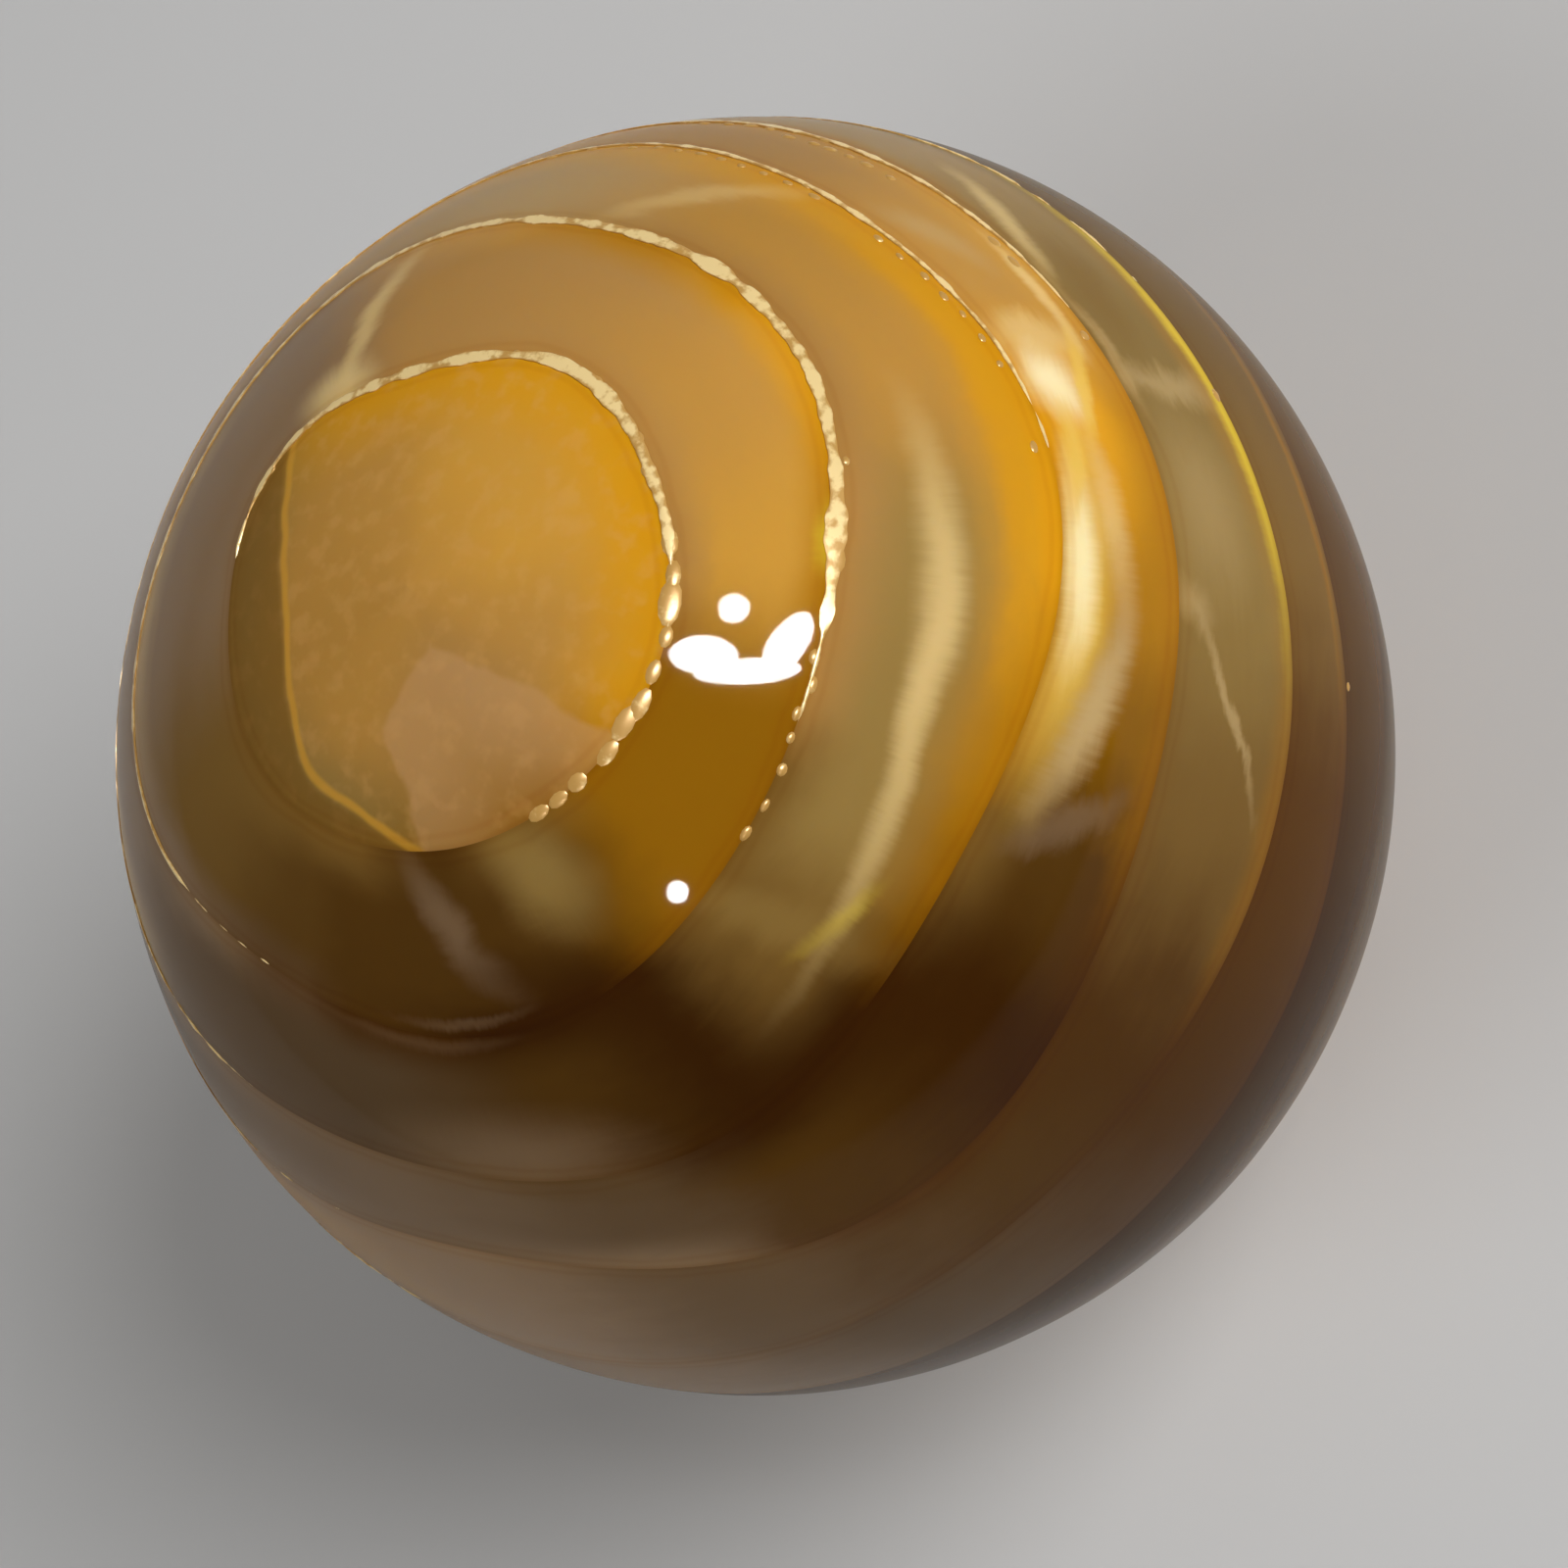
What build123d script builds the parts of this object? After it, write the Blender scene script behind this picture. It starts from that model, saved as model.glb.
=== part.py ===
"""Laminated cue ball, in millimetres.

The ball is turned from a block of translucent resin layers. Each pair of layers is joined by a thin amber glue
sheet, and each joint line on the finished surface is cut as a shallow groove all round and filled flush with gold.
The origin is the ball's centre. +Z is the lamination axis, from the larger bottom cap to the small top cap.
"""

import os
from math import sqrt

from build123d import *

# Driving dimensions
BALL_DIAMETER = 57.15  # finished ball, two and a quarter inches
SHEET_THICKNESS = 0.25  # amber glue sheet between two layers
GOLD_LIP = 0.25  # how far the gold covers the layer's edge on each side of the glue, along the ball's surface
GROOVE_DEPTH = 0.4  # how far the groove is cut in from its shallower edge, straight towards the joint's normal

# The layers from the top cap down, in thousandths of the ball's radius. The stack always fills the ball, so these
# are proportions of its height, whatever its diameter.
LAYER_SHARES = (67, 130, 180, 143, 214, 241, 175, 205, 190, 175, 150, 130)

# Each joint is a flat plane that leans a little, because the layers were glued by hand: degrees of lean, and the
# compass direction in degrees from +X towards which its normal leans. One pair for each joint, from the top down.
JOINT_LEANS = (
    (0.7, -62),
    (2.2, 84),
    (0.4, 30),
    (1.8, -88),
    (3.2, -119),
    (2.4, -170),
    (1.5, -140),
    (1.2, 40),
    (2.0, 110),
    (1.0, -30),
    (1.6, 160),
)

# Values that follow from the driving dimensions
RADIUS = BALL_DIAMETER / 2
JOINT_COUNT = len(LAYER_SHARES) - 1


def joint_planes():
    """The middle plane of each joint, from the top down, with its normal towards the top cap."""
    planes = []
    height = RADIUS
    for share, (lean, towards) in zip(LAYER_SHARES[:JOINT_COUNT], JOINT_LEANS, strict=True):
        height -= BALL_DIAMETER * share / sum(LAYER_SHARES)
        normal = Vector(0, 0, 1).rotate(Axis.Y, lean).rotate(Axis.Z, towards)
        planes.append(Plane(origin=normal * height, z_dir=normal))
    return planes


def above(solid, plane, distance):
    """What is left of a solid above a plane that is moved along its own normal."""
    return split(solid, bisect_by=plane.offset(distance), keep=Keep.TOP)


def below(solid, plane, distance):
    """What is left of a solid below a plane that is moved along its own normal."""
    return split(solid, bisect_by=plane.offset(distance), keep=Keep.BOTTOM)


def joint_height(plane):
    """How far a joint lies above the ball's centre, along the joint's own normal."""
    return plane.origin.dot(plane.z_dir)


def line_radius(plane):
    """The radius of the circle in which a joint meets the ball's surface."""
    return sqrt(RADIUS**2 - joint_height(plane) ** 2)


def groove_height(plane):
    """How tall a groove is along its joint's normal, so that its lips are as wide on the surface at every joint."""
    return SHEET_THICKNESS + 2 * GOLD_LIP * line_radius(plane) / RADIUS


def groove_bottom(plane):
    """The radius of the groove's round bottom, which is also where the glue sheet ends."""
    shallow_edge = abs(joint_height(plane)) + groove_height(plane) / 2
    return sqrt(RADIUS**2 - shallow_edge**2) - GROOVE_DEPTH


def groove_section(plane):
    """The groove's section at +X in a joint's own frame, from its bottom to clear of the ball."""
    depth = BALL_DIAMETER - groove_bottom(plane)
    return Plane.XZ * Pos(groove_bottom(plane) + depth / 2, 0) * Rectangle(depth, groove_height(plane))


def groove_ring(plane):
    """The ring that cuts the groove along a joint's line on the ball."""
    return plane * revolve(groove_section(plane), axis=Axis.Z)


def resin_layer(index, planes):
    """One layer of the turned ball, faced by the glue sheets above and below it and cut by their grooves."""
    layer = Sphere(RADIUS)
    if index > 0:
        layer = below(layer, planes[index - 1], -SHEET_THICKNESS / 2)
        layer -= groove_ring(planes[index - 1])
    if index < JOINT_COUNT:
        layer = above(layer, planes[index], SHEET_THICKNESS / 2)
        layer -= groove_ring(planes[index])
    return layer


def glue_sheet(plane):
    """The amber disc in one joint, which ends at the bottom of the groove."""
    return plane * Cylinder(groove_bottom(plane), SHEET_THICKNESS)


def gold_rim(plane):
    """The gold that fills one groove, flush with the ball."""
    ball_section = Plane.XZ * Pos(0, -joint_height(plane)) * Circle(RADIUS)
    return plane * revolve(groove_section(plane) & ball_section, axis=Axis.Z)


def layer_name(index):
    """The node name of a layer, counted from the top."""
    if index == 0:
        return "top_cap"
    if index == JOINT_COUNT:
        return "bottom_cap"
    return f"layer_{index + 1:02d}"


def ball_pieces():
    """Every piece of the ball by node name."""
    planes = joint_planes()
    pieces = {layer_name(index): resin_layer(index, planes) for index in range(JOINT_COUNT + 1)}
    for number, plane in enumerate(planes, start=1):
        pieces[f"amber_sheet_{number:02d}"] = glue_sheet(plane)
        pieces[f"gold_rim_{number:02d}"] = gold_rim(plane)
    return pieces


def main():
    """Write one STEP file for each piece."""
    os.makedirs("parts", exist_ok=True)
    for name, piece in ball_pieces().items():
        export_step(piece, f"parts/{name}.step")


main()
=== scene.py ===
"""Laminated cue ball: honey resin layers, amber joints and gold lines, in a plain studio.

The layers follow the ball's size and joint planes in the frame, and their joint lines wander a
little from those planes. Each corner of a layer carries a mark, its share across the layer and its
distances from the joints above and below, which the resin's colours follow.
"""

import random
from functools import lru_cache
from math import acos, atan2, cos, degrees, exp, hypot, pi, radians, sin, sqrt

import bmesh
import bpy
from mathutils import Matrix, Vector, noise


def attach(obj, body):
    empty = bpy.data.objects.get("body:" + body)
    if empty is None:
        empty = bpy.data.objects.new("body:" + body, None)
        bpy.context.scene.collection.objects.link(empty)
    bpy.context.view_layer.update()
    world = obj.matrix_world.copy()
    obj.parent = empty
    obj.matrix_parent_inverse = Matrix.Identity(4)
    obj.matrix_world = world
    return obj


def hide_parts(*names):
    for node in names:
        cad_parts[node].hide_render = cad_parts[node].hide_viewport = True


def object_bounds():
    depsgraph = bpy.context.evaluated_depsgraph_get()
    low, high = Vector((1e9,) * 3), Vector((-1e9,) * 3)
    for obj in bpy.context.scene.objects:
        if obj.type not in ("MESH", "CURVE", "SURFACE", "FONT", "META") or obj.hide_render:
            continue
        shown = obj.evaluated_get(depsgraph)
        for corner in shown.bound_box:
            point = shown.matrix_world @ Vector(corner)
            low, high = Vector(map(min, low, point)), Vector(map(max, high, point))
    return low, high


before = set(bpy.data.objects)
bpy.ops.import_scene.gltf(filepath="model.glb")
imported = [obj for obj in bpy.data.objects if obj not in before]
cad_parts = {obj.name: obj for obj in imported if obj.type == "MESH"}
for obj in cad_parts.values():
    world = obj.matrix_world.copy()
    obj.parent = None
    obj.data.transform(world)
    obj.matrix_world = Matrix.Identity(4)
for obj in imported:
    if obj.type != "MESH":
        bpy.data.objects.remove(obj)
CAD_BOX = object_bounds()

bl_info = {
    "name": "Laminated Cue Ball",
    "version": (1, 0, 0),
    "blender": (4, 5, 0),
    "location": "View3D > Sidebar > Cue Ball",
    "description": "Builds a polished laminated resin ball with gold joint lines",
    "category": "Add Mesh",
}

MM = 0.001
BODY = "root"
BALL_RADIUS = (CAD_BOX[1].z - CAD_BOX[0].z) / 2
LAYERS = ["top_cap"] + [f"layer_{n:02d}" for n in range(2, 12)] + ["bottom_cap"]
JOINTS = range(1, len(LAYERS))
MERGE = 1e-7  # corners this close are one
FAR = 99 * MM  # the distance to a joint that a cap doesn't have

# Rows across a flat face of a layer or a glue sheet, as shares of the way from the middle to the edge.
FACE_ROWS = (0.4, 0.8, 0.96)
ROW_HEIGHT = 0.3 * MM  # of the faces down a layer's polished surface
FEWEST_ROWS = 14

GLUE_HALF = 0.1 * MM  # half the thickness of a glue sheet
GLUE_SETBACK = 0.4 * MM  # how far a glue sheet's edge lies below the ball's surface

LINE_CORNERS = 10  # round a gold line's section
LINE_LIFT = 0.01 * MM  # of a gold line's middle above the dip that it lies in
LINE_WAVER = 0.08 * MM  # how far a gold line strays from its joint
LINE_SINKING = 1.2 * MM  # how much deeper a line lies for each whole share of gold that it lacks
FULL_ENOUGH = 0.3  # the share of gold below which a line sinks
THINNEST = 0.3  # the least of a gold line between its lumps, as a share

GRAIN_SEED = 40
GRAIN_LIFT = 0.04 * MM  # of a grain's middle above the surface
TALLEST_GRAIN = 0.2 * MM  # half the height of the tallest grain
FEWEST_GRAINS = 0.25  # the share of gold below which a line has no loose grains


# ------------------------------------------------------------ sizes and colours a user would change


class BallSizes(bpy.types.PropertyGroup):
    """Sizes of the ball's visible pieces"""

    edge_dip: bpy.props.FloatProperty(
        name="Edge dip",
        description="How far a layer's surface dips at its joints",
        default=0.008 * MM,
        unit="LENGTH",
    )
    edge_width: bpy.props.FloatProperty(
        name="Edge width",
        description="How far from a joint the dip reaches",
        default=0.7 * MM,
        unit="LENGTH",
    )
    ripple: bpy.props.FloatProperty(
        name="Polish ripple",
        description="Slow waviness of the hand-polished surface",
        default=0.10 * MM,
        unit="LENGTH",
    )
    line_width: bpy.props.FloatProperty(
        name="Gold line",
        description="Full width of a gold line",
        default=0.66 * MM,
        unit="LENGTH",
    )
    line_height: bpy.props.FloatProperty(
        name="Gold height",
        description="How high a full gold line stands in its dip",
        default=0.12 * MM,
        unit="LENGTH",
    )
    grain_radius: bpy.props.FloatProperty(
        name="Gold grain",
        description="Radius of a middling gold grain",
        default=0.27 * MM,
        unit="LENGTH",
    )
    around: bpy.props.IntProperty(
        name="Steps around",
        description="Faces around each layer",
        default=300,
    )


class BallColours(bpy.types.PropertyGroup):
    """Colours of the ball's finishes"""

    gold: bpy.props.FloatVectorProperty(
        name="Gold",
        description="Gold leaf in the joint lines",
        default=(0.93, 0.70, 0.32),
        subtype="COLOR",
    )
    amber: bpy.props.FloatVectorProperty(
        name="Amber",
        description="Glue sheets between the layers",
        default=(0.55, 0.25, 0.02),
        subtype="COLOR",
    )
    floor: bpy.props.FloatVectorProperty(
        name="Floor",
        description="Studio floor",
        default=(0.60, 0.60, 0.60),
        subtype="COLOR",
    )


# ------------------------------------------------------------ where the joints run


UPWARD = 0.9  # the upward share of a normal on a sheet's upper face


class Joint:
    """One glued joint: its leaning plane, read from the frame, and the wander of its line."""

    def __init__(self, number, waves):
        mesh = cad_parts[f"amber_sheet_{number:02d}"].data
        normal = Vector()
        for face in mesh.polygons:
            if face.normal.z > UPWARD:
                normal += face.normal * face.area
        self.normal = normal.normalized()
        heights = [self.normal.dot(v.co) for v in mesh.vertices]
        self.height = (max(heights) + min(heights)) / 2
        self.middle = self.height / self.normal.z
        self.waves = waves
        self.polar = lru_cache(maxsize=None)(self.polar_at)

    def polar_at(self, azimuth):
        """The angle from the top pole at which the line lies at an azimuth."""
        across = self.normal.x * cos(azimuth) + self.normal.y * sin(azimuth)
        size = hypot(across, self.normal.z)
        angle = atan2(across, self.normal.z) + acos(self.height / BALL_RADIUS / size)
        for amount, lobes, phase in self.waves:
            angle += amount * MM / BALL_RADIUS * sin(lobes * azimuth + radians(phase))
        return angle


# Slow wander of each joint line, from the top: millimetres, lobes round the ball, and phase in
# degrees. A wave with no lobes moves the whole line.
WANDER = (
    ((0.25, 2, -90), (0.13, 3, -175), (0.22, 4, 125), (0.14, 5, 85)),
    ((0.15, 2, -50), (0.28, 3, 120), (0.43, 4, -90), (0.20, 5, 170)),
    ((-0.18, 0, 90), (0.54, 2, 180), (0.34, 3, 50), (0.70, 4, -70), (0.20, 5, -25)),
    ((0.31, 0, 90), (0.34, 2, -75), (0.75, 3, -10), (0.77, 4, -140), (0.37, 5, 5)),
    ((0.25, 2, -130), (0.33, 3, -90), (0.24, 4, -40), (0.17, 5, 130)),
    ((0.17, 2, 5), (0.24, 3, 45), (0.28, 4, 80), (0.27, 5, 105)),
    ((0.45, 4, 220),),
    ((0.40, 3, 140), (0.25, 5, 10)),
    ((0.50, 4, 300),),
    ((0.40, 3, 20), (0.20, 6, 100)),
    ((0.35, 5, 180),),
)
joints = {number: Joint(number, WANDER[number - 1]) for number in JOINTS}


def top_polar(index, azimuth):
    """The polar angle of a layer's upper edge."""
    return joints[index].polar(azimuth) if index else 0.0


def low_polar(index, azimuth):
    """The polar angle of a layer's lower edge."""
    return joints[index + 1].polar(azimuth) if index + 1 < len(LAYERS) else pi


def dip_near(distance, sizes):
    """How far the surface lies below the round ball at a distance from the nearest joint line."""
    return sizes.edge_dip * exp(-((max(0.0, distance) / sizes.edge_width) ** 1.5))


def ripple_at(direction, sizes):
    """Slow waviness of the polish, always inwards."""
    wave = noise.noise(direction * 2.3) * 0.6 + noise.noise(direction * 5.1 + Vector((7, 1, 3))) * 0.4
    return sizes.ripple * (0.5 - 0.5 * wave)


def unit(polar, azimuth):
    """The direction at a polar angle and an azimuth."""
    return Vector((sin(polar) * cos(azimuth), sin(polar) * sin(azimuth), cos(polar)))


# ------------------------------------------------------------ small helpers


def add_piece(name, bm, replaced, material, crease=60):
    """Turns a bmesh into a smooth piece of the ball, with edges over the crease in degrees sharp.

    The piece stands for the CAD node that it replaces, where it replaces one.
    """
    bmesh.ops.recalc_face_normals(bm, faces=bm.faces)
    for face in bm.faces:
        face.smooth = True
    for edge in bm.edges:
        edge.smooth = edge.calc_face_angle(0.0) < radians(crease)
    mesh = bpy.data.meshes.new(name)
    bm.to_mesh(mesh)
    bm.free()
    mesh.materials.append(material)
    piece = bpy.data.objects.new(name, mesh)
    bpy.context.scene.collection.objects.link(piece)
    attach(piece, BODY)
    if replaced:
        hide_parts(replaced)
    return piece


def rolled(rows, steps, place):
    """A closed bmesh wrapped once round the ball.

    place(row, azimuth) gives each corner's position and its mark, which the materials read.
    """
    bm = bmesh.new()
    marks = bm.verts.layers.float_vector.new("strata")
    bmesh.ops.create_grid(bm, x_segments=steps, y_segments=rows - 1, size=1.0)
    for vert in bm.verts:
        row = round((vert.co.y + 1) / 2 * (rows - 1))
        azimuth = round(pi * vert.co.x, 6)  # so that every row asks for the same azimuths
        vert.co, vert[marks] = place(row, azimuth)
    bmesh.ops.remove_doubles(bm, verts=bm.verts, dist=MERGE)
    return bm


def steps_around(sizes):
    return sizes.around


# ------------------------------------------------------------ material nodes


class Graph:
    """A short way to write a material's nodes."""

    def __init__(self, name):
        self.material = bpy.data.materials.new(name)
        self.material.use_nodes = True
        self.tree = self.material.node_tree
        self.shader = self.tree.nodes["Principled BSDF"]

    def node(self, kind, **settings):
        """A new node with its settings."""
        made = self.tree.nodes.new(kind)
        for key, value in settings.items():
            setattr(made, key, value)
        return made

    def feed(self, socket, value):
        """Sets a socket to a value, or links another socket to it."""
        if isinstance(value, bpy.types.NodeSocket):
            self.tree.links.new(value, socket)
        else:
            socket.default_value = value

    def math(self, operation, *values):
        """One step of arithmetic."""
        made = self.node("ShaderNodeMath", operation=operation)
        for socket, value in zip(made.inputs, values):
            self.feed(socket, value)
        return made.outputs[0]

    def total(self, first, *parts):
        """A value with (value, weight) parts added to it."""
        for value, weight in parts:
            first = self.math("ADD", first, self.math("MULTIPLY", value, weight))
        return first

    def ramp(self, value, low, high, to_low=0.0, to_high=1.0):
        """A soft step of a value between two limits."""
        made = self.node("ShaderNodeMapRange", interpolation_type="SMOOTHSTEP")
        for socket, given in zip(made.inputs, (value, low, high, to_low, to_high)):
            self.feed(socket, given)
        return made.outputs[0]

    def mix(self, amount, first, second):
        """One colour laid over another."""
        made = self.node("ShaderNodeMix", data_type="RGBA")
        self.feed(made.inputs["Factor"], amount)
        self.feed(made.inputs[6], first)
        self.feed(made.inputs[7], second)
        return made.outputs[2]

    def vector(self, operation, a, b=(0, 0, 0)):
        """One step of vector arithmetic."""
        made = self.node("ShaderNodeVectorMath", operation=operation)
        self.feed(made.inputs[0], a)
        if operation == "SCALE":
            self.feed(made.inputs["Scale"], b)
        elif operation != "NORMALIZE":
            self.feed(made.inputs[1], b)
        return made.outputs["Value"] if operation == "DOT_PRODUCT" else made.outputs[0]

    def split(self, vector):
        """A vector's three parts."""
        made = self.node("ShaderNodeSeparateXYZ")
        self.feed(made.inputs[0], vector)
        return made.outputs

    def noise(self, where, scale, detail=2.0, rough=0.5, distortion=0.0):
        """Soft three-dimensional noise around nought, about a quarter either way."""
        made = self.node("ShaderNodeTexNoise")
        self.feed(made.inputs["Vector"], where)
        self.feed(made.inputs["Scale"], scale)
        self.feed(made.inputs["Detail"], detail)
        self.feed(made.inputs["Roughness"], rough)
        self.feed(made.inputs["Distortion"], distortion)
        return self.math("SUBTRACT", made.outputs[0], 0.5)

    def place(self):
        """Where a point lies in the ball, in millimetres."""
        return self.vector("SCALE", self.node("ShaderNodeTexCoord").outputs["Object"], 1 / MM)

    def strata(self):
        """The three parts of the mark on each corner."""
        mark = self.node("ShaderNodeAttribute", attribute_name="strata")
        return self.split(mark.outputs["Vector"])

    def set(self, **values):
        """Sets the shader's own sockets, with spaces written as underscores."""
        for key, value in values.items():
            self.feed(self.shader.inputs[key.replace("_", " ")], value)


def srgb(red, green, blue):
    """A colour given on the usual 0 to 255 display scale."""
    def straight(level):
        level /= 255
        return level / 12.92 if level <= 0.04045 else ((level + 0.055) / 1.055) ** 2.4

    return (straight(red), straight(green), straight(blue), 1.0)


# ------------------------------------------------------------ how the resin is coloured

UMBER = srgb(60, 31, 2)
BARK = srgb(86, 56, 14)
SMOKE = srgb(100, 77, 50)
HUSK = srgb(124, 92, 40)
MAUVE = srgb(136, 110, 82)
AMBER = srgb(150, 100, 8)
BRONZE = srgb(176, 120, 14)
OLIVE = srgb(152, 122, 64)
TAN = srgb(174, 130, 70)
CARAMEL = srgb(190, 140, 64)
SYRUP = srgb(204, 150, 58)
HONEY = srgb(214, 150, 20)
SAND = srgb(184, 150, 98)
LEMON = srgb(226, 196, 54)
CREAM = srgb(236, 204, 138)
MILK = srgb(255, 240, 190)
EMBER = srgb(84, 50, 3)
PEARL = srgb(196, 166, 114)
GLOW = srgb(232, 190, 86)

# What the resin's colour is multiplied by towards a joint, at its very edge, and in the faint
# second line.
WARM_TINT = (1.0, 0.84, 0.45)
EDGE_TINT = (0.86, 0.68, 0.38)
LINE_TINT = (0.75, 0.55, 0.35)
SECOND_LINE = 0.55  # millimetres from a joint to the faint second line

MOTTLE = srgb(216, 164, 96)
FACET_SHADE = srgb(124, 88, 30)
FACET_LINE = srgb(206, 152, 52)
# A pale reflection painted onto the top cap.
REFLECTION_TINT = srgb(200, 154, 104)

# Upright planes that bound the facet and the painted pale reflection in the top cap: direction, and
# millimetres from the axis.
FACET_PLANES = (((-0.58, 0.81, 0.0), 6.2), ((-0.99, 0.10, 0.0), 8.5))
REFLECTION_PLANES = (((0.71, -0.71, 0.0), -2.9), ((-0.10, -0.99, 0.0), 2.0), ((-1.0, 0.0, 0.0), 1.35))

# Each layer's tones round the ball: azimuth in degrees, brightness, then the tones by the upper
# joint, in the middle and by the lower joint. The brightness is partly painted shade and light: it
# is low where the ball should look darker, as near nought degrees in layer_05 and layer_06 and in
# much of layer_07, and high where the lamps leave the resin dim.
# The umber and ember tones between about -170 and -75 degrees in layer_02 to layer_07 are darker resin
# that is partly painted shade and a painted dark reflection on that side of the ball.
TONES = (
    (  # top_cap
        (-180, 0.90, CARAMEL, CARAMEL, OLIVE), (-120, 0.94, CARAMEL, TAN, AMBER),
        (-85, 1.00, CARAMEL, CARAMEL, HONEY), (-45, 1.04, CARAMEL, SYRUP, HONEY),
        (0, 1.02, CARAMEL, SYRUP, HONEY), (50, 0.96, CARAMEL, CARAMEL, HONEY),
        (100, 0.90, CARAMEL, CARAMEL, OLIVE), (140, 0.86, CARAMEL, CARAMEL, OLIVE),
    ),
    (  # layer_02
        (-170, 1.10, HUSK, BARK, BARK), (-148, 1.00, BARK, BARK, UMBER),
        (-130, 1.00, HUSK, BARK, UMBER), (-108, 1.00, AMBER, AMBER, AMBER),
        (-85, 0.95, AMBER, AMBER, AMBER), (-60, 1.04, TAN, SYRUP, BRONZE),
        (-30, 1.10, TAN, CARAMEL, HONEY), (5, 1.08, TAN, TAN, BRONZE),
        (35, 1.06, TAN, TAN, CARAMEL), (65, 1.12, MAUVE, MAUVE, MAUVE),
        # The pale sand by the lower joint near 110 degrees is a painted reflection at the ball's edge.
        (110, 1.15, MAUVE, MAUVE, SAND), (145, 1.10, HUSK, HUSK, MAUVE),
    ),
    (  # layer_03
        (-170, 0.95, EMBER, SMOKE, SMOKE), (-142, 0.95, UMBER, BARK, BARK),
        (-124, 0.98, UMBER, UMBER, UMBER), (-108, 1.00, HUSK, HUSK, UMBER),
        (-92, 1.00, HUSK, OLIVE, AMBER), (-76, 1.02, TAN, OLIVE, BRONZE),
        (-58, 1.08, TAN, OLIVE, HONEY), (-35, 0.98, TAN, CARAMEL, HONEY),
        (-5, 0.90, TAN, CARAMEL, HONEY), (30, 0.92, SAND, SAND, SYRUP),
        (80, 1.00, MAUVE, TAN, HONEY), (130, 1.10, MAUVE, MAUVE, SAND),
        (160, 1.10, MAUVE, SMOKE, SMOKE),
    ),
    (  # layer_04
        (-170, 0.90, MAUVE, MAUVE, MAUVE), (-142, 1.10, SMOKE, SMOKE, MAUVE),
        (-126, 1.00, UMBER, BARK, BARK), (-104, 1.05, UMBER, UMBER, UMBER),
        (-86, 1.00, HUSK, BARK, EMBER), (-74, 0.80, BRONZE, AMBER, AMBER),
        (-60, 0.95, BRONZE, BRONZE, BRONZE), (-42, 1.08, HONEY, HONEY, BRONZE),
        (-24, 1.00, CARAMEL, CARAMEL, SYRUP), (10, 0.88, TAN, TAN, CARAMEL),
        (60, 1.00, SAND, SYRUP, HONEY), (110, 0.95, TAN, CARAMEL, OLIVE),
        (150, 1.00, MAUVE, SMOKE, MAUVE),
    ),
    (  # layer_05
        (-165, 1.32, MAUVE, MAUVE, MAUVE), (-138, 1.32, SMOKE, SMOKE, SMOKE),
        (-115, 1.00, EMBER, BARK, BARK), (-98, 0.88, EMBER, EMBER, EMBER),
        (-78, 0.92, HUSK, HUSK, HUSK), (-55, 0.86, OLIVE, OLIVE, OLIVE),
        (-30, 0.74, OLIVE, OLIVE, OLIVE), (0, 0.70, CARAMEL, SAND, OLIVE),
        (60, 1.00, TAN, SAND, HONEY), (110, 0.95, CARAMEL, TAN, HONEY),
        (155, 1.00, MAUVE, TAN, MAUVE),
    ),
    (  # layer_06
        (-160, 1.15, MAUVE, MAUVE, MAUVE), (-128, 1.00, SMOKE, SMOKE, SMOKE),
        (-100, 0.88, EMBER, EMBER, EMBER), (-74, 1.10, EMBER, EMBER, EMBER),
        (-52, 1.00, HUSK, HUSK, HUSK), (-25, 0.72, HUSK, HUSK, HUSK), (0, 0.50, HUSK, HUSK, HUSK),
        (70, 1.00, SAND, SYRUP, HONEY), (130, 0.95, MAUVE, TAN, AMBER),
    ),
    (  # layer_07
        (-150, 0.75, SMOKE, SMOKE, BARK), (-110, 0.60, BARK, BARK, EMBER),
        (-85, 0.55, EMBER, EMBER, EMBER), (-50, 1.05, BARK, BARK, BARK),
        (-20, 0.60, HUSK, HUSK, HUSK), (20, 0.80, HUSK, HUSK, HUSK),
        (90, 1.00, CARAMEL, SYRUP, HONEY), (150, 0.95, MAUVE, TAN, AMBER),
    ),
    (  # layer_08
        (-140, 0.85, BARK, SMOKE, BARK), (-60, 0.70, BARK, SMOKE, BARK),
        (20, 1.00, SAND, SYRUP, HONEY), (100, 0.95, TAN, CARAMEL, AMBER),
        (160, 0.90, SMOKE, MAUVE, OLIVE),
    ),
    (  # layer_09
        (-150, 0.95, MAUVE, TAN, OLIVE), (-80, 0.80, HUSK, MAUVE, HUSK),
        (-10, 1.00, CARAMEL, SYRUP, HONEY), (70, 0.95, TAN, MAUVE, AMBER),
        (140, 0.90, BARK, SMOKE, BARK),
    ),
    (  # layer_10
        (-130, 1.00, TAN, CARAMEL, HONEY), (-40, 0.95, MAUVE, TAN, AMBER),
        (40, 0.95, TAN, SAND, HONEY), (130, 1.00, CARAMEL, SYRUP, HONEY),
    ),
    (  # layer_11
        (-150, 0.95, MAUVE, TAN, HONEY), (-60, 1.00, TAN, CARAMEL, HONEY),
        (40, 0.95, SAND, CARAMEL, AMBER), (120, 0.90, MAUVE, TAN, HONEY),
    ),
    (  # bottom_cap
        (-120, 0.95, AMBER, CARAMEL, CARAMEL), (0, 1.00, HONEY, CARAMEL, CARAMEL),
        (120, 1.00, HONEY, CARAMEL, CARAMEL),
    ),
)

# How far the upper and lower tones reach into each layer, as shares of its width.
REACHES = (
    (0.50, 0.45), (0.35, 0.32), (0.35, 0.50), (0.40, 0.45), (0.30, 0.28), (0.25, 0.30),
    (0.30, 0.30), (0.35, 0.40), (0.30, 0.40), (0.35, 0.45), (0.30, 0.50), (0.40, 0.50),
)
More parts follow.
